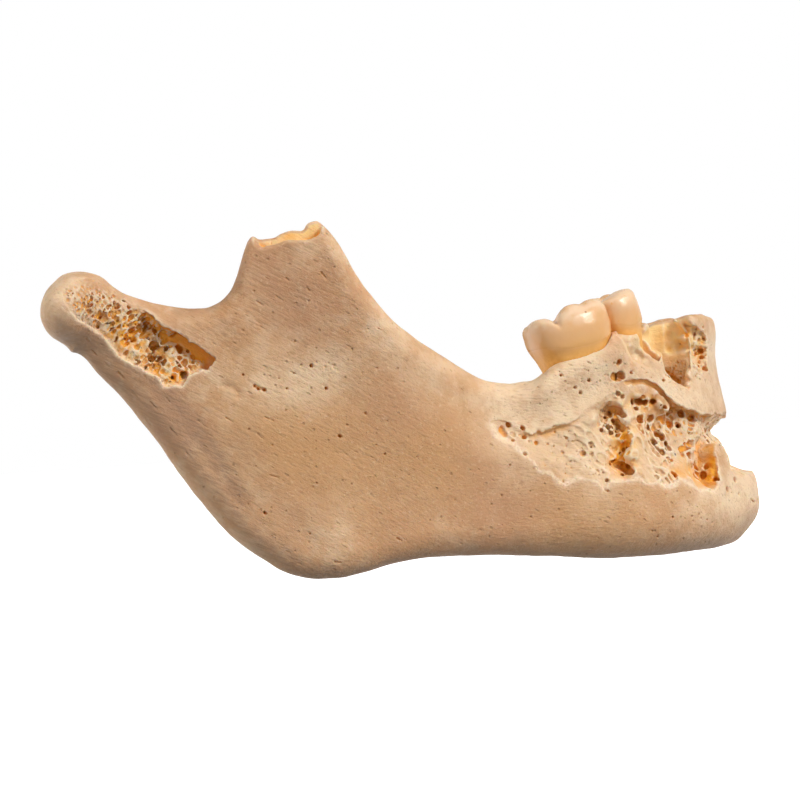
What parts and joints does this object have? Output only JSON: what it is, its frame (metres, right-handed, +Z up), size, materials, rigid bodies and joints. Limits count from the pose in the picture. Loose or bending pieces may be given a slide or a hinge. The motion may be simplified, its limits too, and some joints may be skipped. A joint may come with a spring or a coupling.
{
  "type": "human mandible",
  "caption": "Dry human lower jaw bone with two rami and broken coronoid tips, weathered openings in its outer wall, open sockets, and a molar and a premolar still seated.",
  "frame": {"origin": "on the table under the middle of the jaw: the centre of its box in X and Y, at the height of its lowest points", "axes": "+X forward to the chin, +Y to the jaw's left side, +Z up"},
  "size_m": [0.0952, 0.113, 0.0484],
  "materials": {
    "dry_bone": "matte, porous",
    "tooth": "polished enamel over amber root"
  },
  "bodies": {
    "root": {"mandible": "dry_bone", "first_molar": "tooth", "second_premolar": "tooth"}
  },
  "joints": []
}
